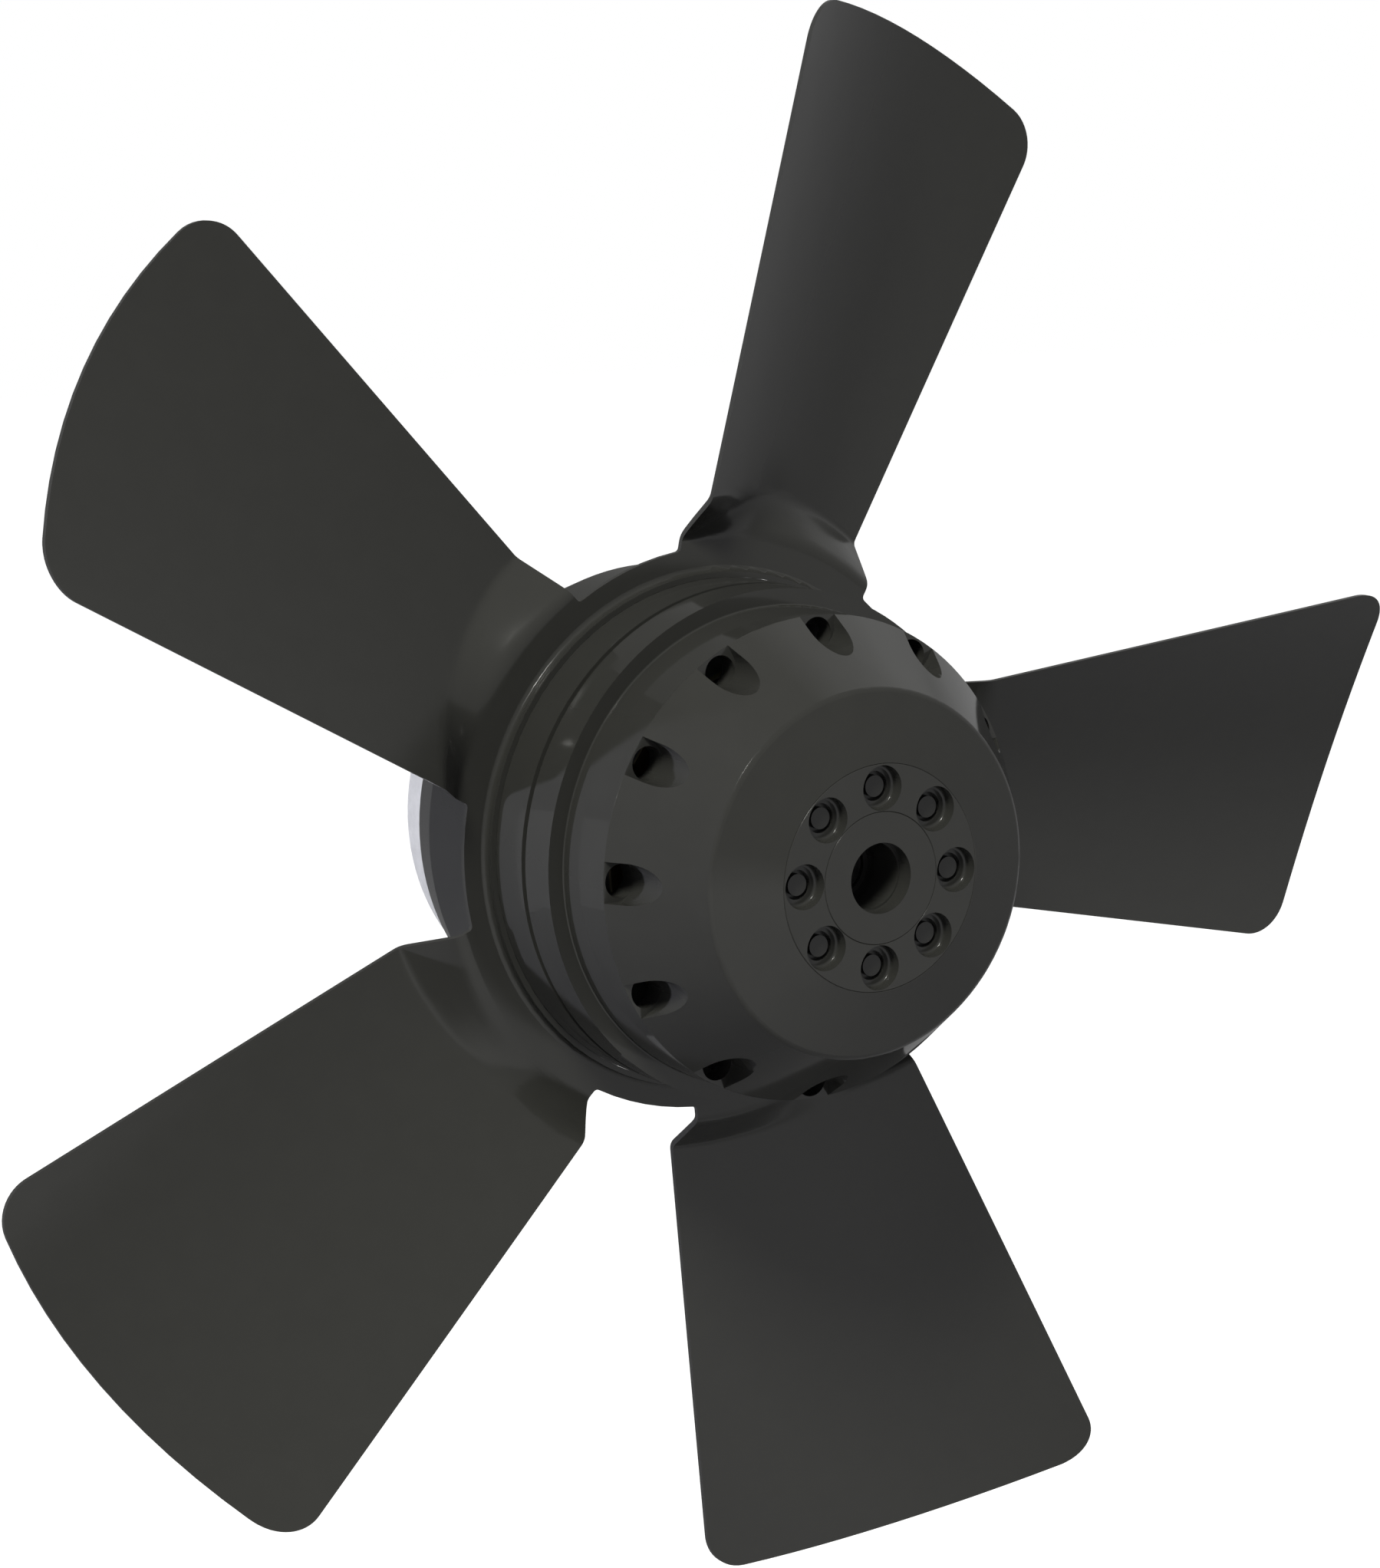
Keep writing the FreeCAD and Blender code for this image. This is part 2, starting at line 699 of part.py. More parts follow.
def make_rotor_bell():
    """Cast bell: tapered rim, turned steps, conical nose with twelve vents."""
    inner = s.core_outer_radius + s.fit_gap
    groove_floor = s.rotor_radius - s.groove_depth
    groove_end = s.groove_base + s.groove_width
    hub_seat = s.hub_flange_radius + s.fit_gap
    body = turned("rotor_bell", [
        (inner, s.rim_base),
        (s.rim_radius, s.rim_base),
        (s.rotor_radius, s.rim_taper_end),
        (s.rotor_radius, s.groove_base),
        (groove_floor, s.groove_base),
        (groove_floor, groove_end),
        (s.rotor_radius, groove_end),
        (s.rotor_radius, s.step_height),
        (s.nose_radius, s.step_height),
        (s.nose_radius, s.shoulder_height),
        (s.face_radius, s.face_height),
        (hub_seat, s.nose_height),
        (hub_seat, s.hub_seat_height),
        (s.web_bore_radius, s.hub_seat_height),
        (s.web_bore_radius, s.web_base),
        (s.cavity_roof_radius, s.web_base),
        (s.cavity_step_radius, s.cavity_height),
        (inner, s.cavity_height),
    ])
    dress(body, "Fillet", "step_corner", s.step_fillet, [(s.nose_radius, s.step_height)])
    dress(body, "Fillet", "face_edge", s.face_fillet, [(s.face_radius, s.face_height)])
    dress(body, "Fillet", "shoulder_edge", s.shoulder_fillet, [(s.nose_radius, s.shoulder_height)])
    dress(body, "Chamfer", "nose_seam", s.seam_chamfer, [(hub_seat, s.nose_height)])
    vent = new_sketch(body, "vent_outline", height=s.shoulder_height)
    half = s.vent_half_width
    centre = s.vent_end_radius + half
    mouth = s.nose_radius + s.cut_margin
    corners = [(centre, -half), (mouth, -half), (mouth, half), (centre, half)]
    points = [Vector(x.value, y.value, 0) for x, y in corners]
    for start, end in zip(points, points[1:]):
        vent.addGeometry(Part.LineSegment(start, end), False)
    tip = Vector(s.vent_end_radius.value, 0, 0)
    arc = vent.addGeometry(Part.Arc(points[3], tip, points[0]), False)
    for edge, (x, y) in enumerate(corners[:3]):
        hold_point(vent, edge, 1, x, y)
    for edge in (0, 1):
        vent.addConstraint(Sketcher.Constraint("Coincident", edge, 2, edge + 1, 1))
    hold_point(vent, 2, 2, *corners[3])
    vent.addConstraint(Sketcher.Constraint("Coincident", 2, 2, arc, 1))
    vent.addConstraint(Sketcher.Constraint("Coincident", 0, 1, arc, 2))
    index = vent.addConstraint(Sketcher.Constraint("DistanceX", -1, 1, arc, 3, centre.value))
    bind(vent, index, centre)
    vent_cut = pocket(body, vent, "vent", s.nose_height - s.shoulder_height, forwards=True)
    repeat(body, vent_cut, "vents", s.vent_count)
    hole = new_sketch(body, "vent_hole_outline", height=s.shoulder_height)
    draw_circle(hole, s.vent_hole_circle, 0, s.vent_hole_radius)
    hole_depth = s.shoulder_height - s.cavity_height + s.vent_hole_overrun
    repeat(body, pocket(body, hole, "vent_hole", hole_depth), "vent_holes", s.vent_count)
    rivet = new_sketch(body, "web_rivet_outline", height=s.hub_seat_height)
    draw_circle(rivet, s.rivet_circle_radius, 0, s.rivet_radius + s.fit_gap)
    rivet_hole = pocket(body, rivet, "web_rivet_hole", s.hub_seat_height - s.web_base)
    repeat(body, rivet_hole, "web_rivet_holes", s.rivet_count)
    return body


def make_hub_flange():
    """Steel ring let into the nose, with eight stepped rivet holes."""
    bore = s.hub_bush_radius + s.fit_gap
    body = turned("hub_flange", [
        (bore, s.hub_seat_height),
        (s.hub_flange_radius, s.hub_seat_height),
        (s.hub_flange_radius, s.nose_height),
        (bore, s.nose_height),
    ])
    seams = [(s.hub_flange_radius, s.nose_height), (bore, s.nose_height)]
    dress(body, "Chamfer", "flange_seams", s.seam_chamfer, seams)
    recess = new_sketch(body, "recess_outline_front", height=s.nose_height)
    draw_circle(recess, s.rivet_circle_radius, 0, s.rivet_recess_radius)
    recess_cut = pocket(body, recess, "rivet_recess", s.rivet_recess_depth)
    repeat(body, recess_cut, "rivet_recesses", s.rivet_count)
    doc.recompute()
    floor = s.nose_height - s.rivet_recess_depth
    edges = []
    for number, edge in enumerate(body.Tip.Shape.Edges, start=1):
        curve = edge.Curve
        if not isinstance(curve, Part.Circle):
            continue
        off_radius = abs(curve.Radius - s.rivet_recess_radius.value)
        off_height = abs(curve.Center.z - floor.value)
        if max(off_radius, off_height) < CLOSE:
            edges.append(f"Edge{number}")
    base = body.Tip
    fillet = body.newObject("PartDesign::Fillet", "recess_fillets")
    fillet.Base = (base, edges)
    fillet.setExpression("Radius", s.rivet_recess_fillet.text)
    body.Tip = fillet
    hole = new_sketch(body, "flange_rivet_outline", height=floor)
    draw_circle(hole, s.rivet_circle_radius, 0, s.rivet_radius + s.fit_gap)
    rivet_hole = pocket(body, hole, "flange_rivet_hole", s.nose_height)
    repeat(body, rivet_hole, "flange_rivet_holes", s.rivet_count)
    return body


def make_hub_bush():
    """Steel bush that carries the shaft, with its flange behind the bell's web."""
    shaft_bore = s.bearing_bore_radius + s.fit_gap
    neck_base = s.front_bearing_base + s.bearing_width
    body = turned("hub_bush", [
        (shaft_bore, neck_base),
        (s.bush_neck_radius, neck_base),
        (s.bush_neck_radius, s.bush_flange_base),
        (s.bush_flange_radius, s.bush_flange_base),
        (s.bush_flange_radius, s.web_base),
        (s.hub_bush_radius, s.web_base),
        (s.hub_bush_radius, s.nose_height),
        (s.hub_bore_radius, s.nose_height),
        (s.hub_bore_radius, s.nose_height - s.hub_bore_depth),
        (s.hub_inner_bore_radius, s.nose_height - s.hub_bore_depth),
        (s.hub_inner_bore_radius, s.shaft_seat_height),
        (shaft_bore, s.shaft_seat_height),
    ])
    dress(body, "Chamfer", "bush_seam", s.seam_chamfer, [(s.hub_bush_radius, s.nose_height)])
    hole = new_sketch(body, "bush_rivet_outline", height=s.web_base)
    draw_circle(hole, s.rivet_circle_radius, 0, s.rivet_radius + s.fit_gap)
    rivet_hole = pocket(body, hole, "bush_rivet_hole", s.web_base - s.bush_flange_base)
    repeat(body, rivet_hole, "bush_rivet_holes", s.rivet_count)
    return body


def make_hub_rivets():
    """Eight rivets through hub flange, web and bush flange, as separate solids."""
    floor = s.nose_height - s.rivet_recess_depth
    tip_base = floor - s.rivet_tip_height
    stages = [
        (s.bush_flange_base - s.rivet_tail_height, s.rivet_tail_radius, s.rivet_tail_height),
        (s.bush_flange_base, s.rivet_radius, tip_base - s.bush_flange_base),
        (tip_base, s.rivet_tip_radius, s.rivet_tip_height + s.rivet_tip_stand),
    ]
    rivets = []
    for i in range(int(s.rivet_count.value)):
        turn = f"(360 deg * {i} / {s.rivet_count.text})"
        cylinders = []
        for number, (base, radius, height) in enumerate(stages, start=1):
            cylinder = doc.addObject("Part::Cylinder", f"rivet_{i + 1}_stage_{number}")
            cylinder.setExpression("Radius", radius.text)
            cylinder.setExpression("Height", height.text)
            cylinder.setExpression("Placement.Base.x", f"{s.rivet_circle_radius.text} * cos{turn}")
            cylinder.setExpression("Placement.Base.y", f"{s.rivet_circle_radius.text} * sin{turn}")
            cylinder.setExpression("Placement.Base.z", base.text)
            cylinders.append(cylinder)
        rivets += cylinders
    group = doc.addObject("Part::MultiFuse", "hub_rivets")
    group.Shapes = rivets
    group.Refine = True
    return group


def make_shaft():
    """Shaft from the rear bearing to the bush, with the clip's groove."""
    journal = s.bearing_bore_radius - s.fit_gap
    groove_top = s.rear_bearing_base
    groove_base = s.rear_bearing_base - s.clip_gauge
    body = turned("shaft", [
        (0, s.shaft_base),
        (journal, s.shaft_base),
        (journal, groove_base),
        (s.clip_groove_radius, groove_base),
        (s.clip_groove_radius, groove_top),
        (journal, groove_top),
        (journal, s.shaft_seat_height),
        (0, s.shaft_seat_height),
    ])
    ends = [(journal, s.shaft_base), (journal, s.shaft_seat_height)]
    dress(body, "Chamfer", "shaft_ends", s.shaft_chamfer, ends)
    return body


def make_shaft_clip():
    """Open retaining ring in the shaft's groove, behind the rear bearing."""
    base = s.rear_bearing_base - s.clip_gauge
    inner = s.clip_groove_radius + s.fit_gap
    body = turned("shaft_clip", [
        (inner, base),
        (s.clip_outer_radius, base),
        (s.clip_outer_radius, s.rear_bearing_base),
        (inner, s.rear_bearing_base),
    ])
    gap = new_sketch(body, "clip_opening_outline", height=base)
    half = s.clip_opening / 2
    far = s.clip_outer_radius + s.cut_margin
    draw_outline(gap, [(-half, 0), (half, 0), (half, -far), (-half, -far)])
    pocket(body, gap, "clip_opening", s.clip_gauge, forwards=True)
    return body


def make_blade_outline():
    """Prism of the blade's outline seen along the shaft, with rounded tip corners."""
    start = s.ring_outer_radius - s.tab_overlap
    inset = s.blade_station - start
    trailing = s.trailing_offset - inset * slope_of(s.trailing_flare)
    leading = -(s.leading_offset - inset * slope_of(s.leading_flare))
    tip_centre = s.tip_arc_offset
    centre = Vector(tip_centre.value, s.tip_arc_shift.value, 0)
    reach = s.tip_arc_radius.value
    corner = s.tip_corner_radius.value
    up = Vector(0, 0, 1)
    sketch_body = new_body("blade_outline")
    sketch = new_sketch(sketch_body, "blade_sketch")
    roots = []
    corners = []
    for offset, flare, inwards in ((leading, -s.leading_flare, 1), (trailing, s.trailing_flare, -1)):
        root = Vector(start.value, offset.value, 0)
        slope = math.radians(flare.value)
        run = Vector(math.cos(slope), math.sin(slope), 0)
        lifted = root + up.cross(run) * corner * inwards - centre
        along = lifted.dot(run)
        travel = math.sqrt(along ** 2 + (reach - corner) ** 2 - lifted.Length ** 2) - along
        middle = centre + lifted + run * travel
        towards = (middle - centre).normalize()
        roots.append((root, root + run * travel))
        corners.append((middle, centre + towards * reach))
    (low_root, low_side), (high_root, high_side) = roots
    (low_middle, low_tip), (high_middle, high_tip) = corners

    def corner_arc(middle, begin, end):
        halfway = middle + ((begin + end) / 2 - middle).normalize() * corner
        return Part.Arc(begin, halfway, end)

    edges = [
        Part.LineSegment(low_root, low_side),
        corner_arc(low_middle, low_side, low_tip),
        Part.Arc(low_tip, centre + Vector(reach, 0, 0), high_tip),
        corner_arc(high_middle, high_tip, high_side),
        Part.LineSegment(high_side, high_root),
        Part.LineSegment(high_root, low_root),
    ]
    for edge in edges:
        sketch.addGeometry(edge, False)
    for edge in range(4):
        sketch.addConstraint(Sketcher.Constraint("Tangent", edge, 2, edge + 1, 1))
    sketch.addConstraint(Sketcher.Constraint("Coincident", 4, 2, 5, 1))
    sketch.addConstraint(Sketcher.Constraint("Coincident", 5, 2, 0, 1))
    hold_point(sketch, 0, 1, start, leading)
    hold_point(sketch, 4, 2, start, trailing)
    hold_point(sketch, 2, 3, tip_centre, s.tip_arc_shift)
    for edge, flare, value in ((0, -s.leading_flare, -s.leading_flare.value), (4, s.trailing_flare, 0)):
        angle = math.radians(value) if edge == 0 else math.radians(flare.value + 180)
        text = flare if edge == 0 else flare + 180
        index = sketch.addConstraint(Sketcher.Constraint("Angle", edge, angle))
        bind(sketch, index, text * Size(1.0, "1 deg"))
    for edge, radius in ((1, s.tip_corner_radius), (2, s.tip_arc_radius), (3, s.tip_corner_radius)):
        index = sketch.addConstraint(Sketcher.Constraint("Radius", edge, radius.value))
        bind(sketch, index, radius)
    pad(sketch_body, sketch, "blade_prism", s.ring_front * 2)
    return sketch_body


def fold_share(radius):
    """0 on the flat ring and 1 on the blade, straight between two soft folds."""
    soft = s.fold_softness.value

    def ramp(distance):
        if distance <= -soft:
            return 0.0
        if distance >= soft:
            return distance
        return (distance + soft) ** 2 / (4 * soft)

    rise = ramp(radius - s.fold_start.value) - ramp(radius - s.fold_end.value)
    return rise / (s.fold_end.value - s.fold_start.value)


def sheet_height(x, y):
    """Height of the sheet's middle at x along the blade and y across it."""
    along = x - s.blade_station.value
    blade = (
        y * math.tan(math.radians(s.blade_pitch.value))
        + y * y * s.blade_camber.value
        + y * along * s.blade_twist.value
        + along * s.blade_lean.value
        - along * along * s.blade_bow.value
        - s.blade_setback.value
    )
    middle = s.ring_front.value - s.sheet_gauge.value / 2
    return middle + blade * fold_share(math.hypot(x, y))


def skin_point(radius, angle, offset):
    """A point of the sheet's front or rear skin, offset square to its middle."""
    x = radius * math.cos(angle)
    y = radius * math.sin(angle)
    step = 1e-3
    slope_x = (sheet_height(x + step, y) - sheet_height(x - step, y)) / (2 * step)
    slope_y = (sheet_height(x, y + step) - sheet_height(x, y - step)) / (2 * step)
    normal = Vector(-slope_x, -slope_y, 1).normalize()
    return Vector(x, y, sheet_height(x, y)) + normal * offset


def make_skin(radii, angles, offset):
    """Cubic surface whose control points lie on the skin, so that flats stay flat."""
    poles = [[skin_point(radius, angle, offset) for angle in angles] for radius in radii]

    def knots(count):
        return [i / (count - 3) for i in range(count - 2)], [4] + [1] * (count - 4) + [4]

    radial_knots, radial_turns = knots(len(radii))
    cross_knots, cross_turns = knots(len(angles))
    surface = Part.BSplineSurface()
    surface.buildFromPolesMultsKnots(
        poles, radial_turns, cross_turns, radial_knots, cross_knots, False, False, 3, 3
    )
    return surface.toShape()


def make_formed_sheet():
    """Sheet through tab plane, folds and cambered blade, wider than the blade."""
    half = s.sheet_gauge.value / 2
    fold_begin = s.fold_start.value - s.fold_softness.value
    fold_stop = s.fold_end.value + s.fold_softness.value
    far = s.tip_radius.value + s.sheet_margin.value
    flat_step = 0.2
    flat_steps = 8
    fold_step = 0.4
    fold_steps = int((fold_stop - fold_begin) / fold_step) + 4
    wing_steps = 14
    half_span = math.radians(30)
    angle_steps = 24
    flat = [fold_begin - flat_step * i for i in range(flat_steps, 0, -1)]
    folds = [fold_begin + fold_step * i for i in range(fold_steps)]
    wing_step = (far - folds[-1]) / wing_steps
    radii = flat + folds + [folds[-1] + wing_step * (i + 1) for i in range(wing_steps)]
    angles = [half_span * (2 * i / angle_steps - 1) for i in range(angle_steps + 1)]
    front = make_skin(radii, angles, half)
    back = make_skin(radii, angles, -half)
    sides = [Part.makeRuledSurface(low, high) for low, high in zip(back.Edges, front.Edges)]
    solid = Part.makeSolid(Part.makeShell([front, back] + sides))
    if solid.Volume < 0:
        solid.reverse()
    return solid


def make_impeller():
    """Ring, collar and five blades pressed from one sheet."""
    inner = s.rotor_radius + s.collar_gap
    outer = inner + s.sheet_gauge
    back = s.ring_front - s.sheet_gauge
    top = s.ring_front + s.collar_rise
    tab_begin = s.ring_outer_radius - s.tab_root
    tab_end = s.fold_start - s.fold_softness - s.tab_margin
    ring = turned("impeller_ring", [
        (inner, back),
        (s.ring_outer_radius, back),
        (s.ring_outer_radius, s.ring_front),
        (outer, s.ring_front),
        (outer, top),
        (inner, top),
    ])
    dress(ring, "Fillet", "collar_bend_outside", s.collar_bend, [(outer, s.ring_front)])
    dress(ring, "Fillet", "collar_bend_inside", s.collar_bend + s.sheet_gauge, [(inner, back)])
    outline = make_blade_outline()
    sheet = doc.addObject("Part::Feature", "formed_sheet")
    sheet.Shape = make_formed_sheet()
    disc = turned("tab_disc", [
        (tab_begin, back),
        (tab_end, back),
        (tab_end, s.ring_front),
        (tab_begin, s.ring_front),
    ])
    core = doc.addObject("Part::Cylinder", "tab_core")
    core.setExpression("Radius", tab_end.text)
    core.setExpression("Height", (s.ring_front * 2).text)
    tab = doc.addObject("Part::Common", "blade_tab")
    tab.Base = disc
    tab.Tool = outline
    wing = doc.addObject("Part::Common", "blade_crop")
    wing.Base = sheet
    wing.Tool = outline
    blade = doc.addObject("Part::Cut", "blade")
    blade.Base = wing
    blade.Tool = core
    doc.recompute()
    step = 360 / s.blade_count.value
    turns = [s.blade_phase.value + step * i for i in range(int(s.blade_count.value))]

    def round_the_shaft(shape):
        copies = []
        for turn in turns:
            copy = shape.copy()
            copy.rotate(Vector(0, 0, 0), Vector(0, 0, 1), turn)
            copies.append(copy)
        return copies

    hub = ring.Shape.multiFuse(round_the_shaft(tab.Shape)).removeSplitter()
    notches = []
    for edge in hub.Edges:
        ends = [vertex.Point for vertex in edge.Vertexes]
        upright = len(ends) == 2 and abs(ends[0].z - ends[1].z) > s.sheet_gauge.value / 2
        at_rim = abs(math.hypot(ends[0].x, ends[0].y) - s.ring_outer_radius.value) < CLOSE
        if upright and at_rim and len(hub.ancestorsOfType(edge, Part.Face)) == 2:
            notches.append(edge)
    hub = hub.makeFillet(s.notch_fillet.value, notches)
    whole = hub.multiFuse(round_the_shaft(blade.Shape), 1e-4)
    impeller = doc.addObject("Part::Feature", "impeller")
    impeller.Shape = whole
    return impeller


doc = FreeCAD.newDocument("axial_fan")
s = make_sheet()

pieces = [
    make_stator_flange(),
    make_cable_grommet(),
    make_bearing_cap(),
    make_slotted_ring("stator_stack", s.stack_base, s.stack_length),
    make_slotted_ring("rear_insulator", s.stack_base - s.insulator_gauge, s.insulator_gauge),
    make_slotted_ring("front_insulator", s.stack_end, s.insulator_gauge),
    make_winding(),
    make_thermal_cutout(),
    make_wave_washer(),
    *make_bearing("rear", s.rear_bearing_base),
    *make_bearing("front", s.front_bearing_base),
    make_rotor_bell(),
    make_impeller(),
    make_hub_flange(),
    make_hub_bush(),
    make_hub_rivets(),
    make_shaft(),
    make_shaft_clip(),
    make_rotor_core(),
    make_squirrel_cage(),
]
for piece in pieces:
    piece.Placement = MOTOR_TO_ROW
doc.recompute()

for item in doc.Objects:
    if "Invalid" in item.State or "Error" in item.State:
        raise RuntimeError(f"{item.Name}: {item.State}")
os.makedirs("parts", exist_ok=True)
for piece in pieces:
    if piece.Shape.isNull() or not piece.Shape.isValid() or piece.Shape.Volume <= 0:
        raise RuntimeError(f"{piece.Label}: bad shape")
    piece.Shape.exportStep(f"parts/{piece.Label}.step")
    print(piece.Label, len(piece.Shape.Solids), round(piece.Shape.Volume), flush=True)
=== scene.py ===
"""Looks of the axial fan: paint, castings, studio light and the camera."""
import math

import bpy
from mathutils import Matrix, Vector


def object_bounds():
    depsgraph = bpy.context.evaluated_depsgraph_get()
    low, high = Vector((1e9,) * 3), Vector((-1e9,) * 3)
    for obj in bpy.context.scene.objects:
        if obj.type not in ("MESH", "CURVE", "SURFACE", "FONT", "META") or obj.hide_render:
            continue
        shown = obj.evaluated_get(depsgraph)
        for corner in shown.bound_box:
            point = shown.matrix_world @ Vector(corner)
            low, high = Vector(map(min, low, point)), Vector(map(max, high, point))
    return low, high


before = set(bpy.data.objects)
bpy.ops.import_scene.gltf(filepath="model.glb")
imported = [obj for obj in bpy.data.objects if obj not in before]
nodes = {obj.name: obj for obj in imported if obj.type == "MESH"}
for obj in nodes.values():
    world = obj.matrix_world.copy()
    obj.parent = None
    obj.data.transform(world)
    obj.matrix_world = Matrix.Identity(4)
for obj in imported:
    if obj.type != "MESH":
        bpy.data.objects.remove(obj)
cad_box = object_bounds()

# the photograph's camera, as its place in metres, its direction, and its lens in millimetres
CAMERA_PLACE = Vector((-0.41370, -0.68907, 0.14093))
CAMERA_VIEW = Vector((0.49550, 0.85041, -0.17684))
LENS = 97.683
SENSOR = 36.0
SHIFT = (0.10137, 0.01693)
CLIP_NEAR = 0.05
CLIP_FAR = 30.0

# the point that the lamps face
FAN_MIDDLE = Vector((0.0, -0.05, 0.0))
# where a lamp stands: degrees round the fan from its nose, degrees up, and metres away
KEY_STAND = (-51, 46, 2.5)
RIM_STAND = (-119, -5, 2.0)
KEY_TINT = (1.0, 1.0, 0.84)
GLINT_TINT = (1.0, 1.0, 0.95)
RIM_TINT = (0.9, 0.91, 1.0)

# soft light that the room throws on a matt surface
ROOM_LIGHT = 0.4
# what a mirror sees of the room: even, but dimmer behind, on the left and below
ROOM_MIRRORED = 0.45
DIM_MIRRORED = 0.15
DIM_SIDE = (-0.6, 0.75, -0.2)
DIM_BETWEEN = (-0.15, 0.4)
# what a window high on the right adds to that
WINDOW_MIRRORED = 0.4
WINDOW_SIDE = (0.57, 0.25, 0.78)
WINDOW_BETWEEN = (0.86, 0.97)
# what the lit paper adds to that, fading from the front to the sides and from below to level
PAPER_MIRRORED = 0.53
FRONT_BETWEEN = (-0.85, -0.35)
BELOW_BETWEEN = (-0.2, -0.05)

# the paper floor: its drop below the impeller, its half width and its glow where seen
FLOOR_DROP = 0.3
FLOOR_REACH = 6.0
FLOOR_GLOW = 0.9
FLOOR_ROUGH = 0.9
FLOOR_GRAIN = 3

# how strongly the paint mirrors the room, half being that of plain varnish
PAINT_GLOSS = 0.3
# the paint's mottling, its uneven sheen and its orange peel, with the peel's depth in metres
MOTTLE_GRAIN = 180
MOTTLE_STOPS = (0.35, 0.65)
SHEEN_GRAIN = 60
SHEEN_SPREAD = (-0.02, 0.02)
PEEL_GRAIN = 300
PEEL_STRENGTH = 0.03
PEEL_DEPTH = 0.00002
# the grain of the other materials, and how far it takes their roughness down and up
GRAIN_STOPS = (0.3, 0.7)
GRAIN_DEPTH = 0.0002
METAL_STRENGTH = 0.05
METAL_SPREAD = (-0.05, 0.08)
SKIN_SPREAD = (-0.05, 0.05)
# how a grain is drawn out: not at all, in turned rings or across the edges of sheets
EVEN = (1, 1, 1)
TURNED = (1, 30, 1)
LAYERED = (1, 60, 1)


def grey(value):
    """An opaque grey, from 0 for black to 1 for white."""
    return (value, value, value, 1.0)


# the darkest and the lightest tone of each surface
BLACK_PAINT = (grey(0.0235), grey(0.0245))
RIVET_PAINT = (grey(0.016), grey(0.02))
# the shaft's steel, far darker than bare steel: painted shade, so that the bore in the hub stays black
BORE_SHADE_STEEL = (grey(0.04), grey(0.07))
RUBBER = (grey(0.012), grey(0.02))
CUTOUT_PLASTIC = (grey(0.03), grey(0.04))
PAPER = (grey(0.28), grey(0.32))
BLASTED_ALUMINIUM = ((0.7, 0.7, 0.71, 1.0), (0.8, 0.8, 0.81, 1.0))
CAST_ALUMINIUM = ((0.6, 0.6, 0.62, 1.0), (0.7, 0.7, 0.72, 1.0))
ZINC = ((0.5, 0.5, 0.48, 1.0), (0.62, 0.62, 0.6, 1.0))
SHEET_STEEL = ((0.25, 0.26, 0.28, 1.0), (0.33, 0.34, 0.36, 1.0))
SPRING_STEEL = ((0.35, 0.35, 0.37, 1.0), (0.45, 0.45, 0.47, 1.0))
CLIP_STEEL = ((0.2, 0.2, 0.21, 1.0), (0.3, 0.3, 0.31, 1.0))
BEARING_STEEL = ((0.6, 0.6, 0.62, 1.0), (0.68, 0.68, 0.7, 1.0))
BRASS = ((0.6, 0.42, 0.16, 1.0), (0.7, 0.5, 0.2, 1.0))
# the winding's wire: partly the varnish's own brown, and darkened far below copper as painted shade, so
# that the vents show black inside
VARNISH_AND_SHADE_WIRE = ((0.05, 0.018, 0.008, 1.0), (0.09, 0.035, 0.015, 1.0))
NYLON = ((0.7, 0.66, 0.52, 1.0), (0.78, 0.74, 0.6, 1.0))


class Nodes:
    """A node tree with short calls for its nodes and links."""

    def __init__(self, tree):
        self.tree = tree

    def add(self, kind, **settings):
        """A new node of a kind, with its settings."""
        node = self.tree.nodes.new(kind)
        for key, value in settings.items():
            setattr(node, key, value)
        return node

    def link(self, source, target):
        """Lead an output into an input."""
        self.tree.links.new(source, target)

    def calculate(self, operation, *sources):
        """One step of arithmetic on the outputs of other nodes."""
        node = self.add("ShaderNodeMath", operation=operation)
        for source, target in zip(sources, node.inputs):
            self.link(source, target)
        return node.outputs["Value"]

    def ramped(self, source, low, high, between=(0.0, 1.0)):
        """Go from low to high while a value goes between two places, and stay level outside them."""
        begin, end = between
        node = self.add("ShaderNodeMapRange")
        node.inputs["From Min"].default_value = begin
        node.inputs["From Max"].default_value = end
        node.inputs["To Min"].default_value = low
        node.inputs["To Max"].default_value = high
        self.link(source, node.inputs["Value"])
        return node.outputs["Result"]

    def facing(self, direction, side, low, high, between):
        """Go from low to high as a direction turns to a side."""
        along = self.add("ShaderNodeVectorMath", operation="DOT_PRODUCT")
        along.inputs[1].default_value = side
        self.link(direction, along.inputs[0])
        return self.ramped(along.outputs["Value"], low, high, between)

    def seen(self, *kinds):
        """1 for rays of the named kinds, such as those of the camera, and 0 for others."""
        path = self.add("ShaderNodeLightPath")
        total = path.outputs[kinds[0]]
        for kind in kinds[1:]:
            total = self.calculate("MAXIMUM", total, path.outputs[kind])
        return total


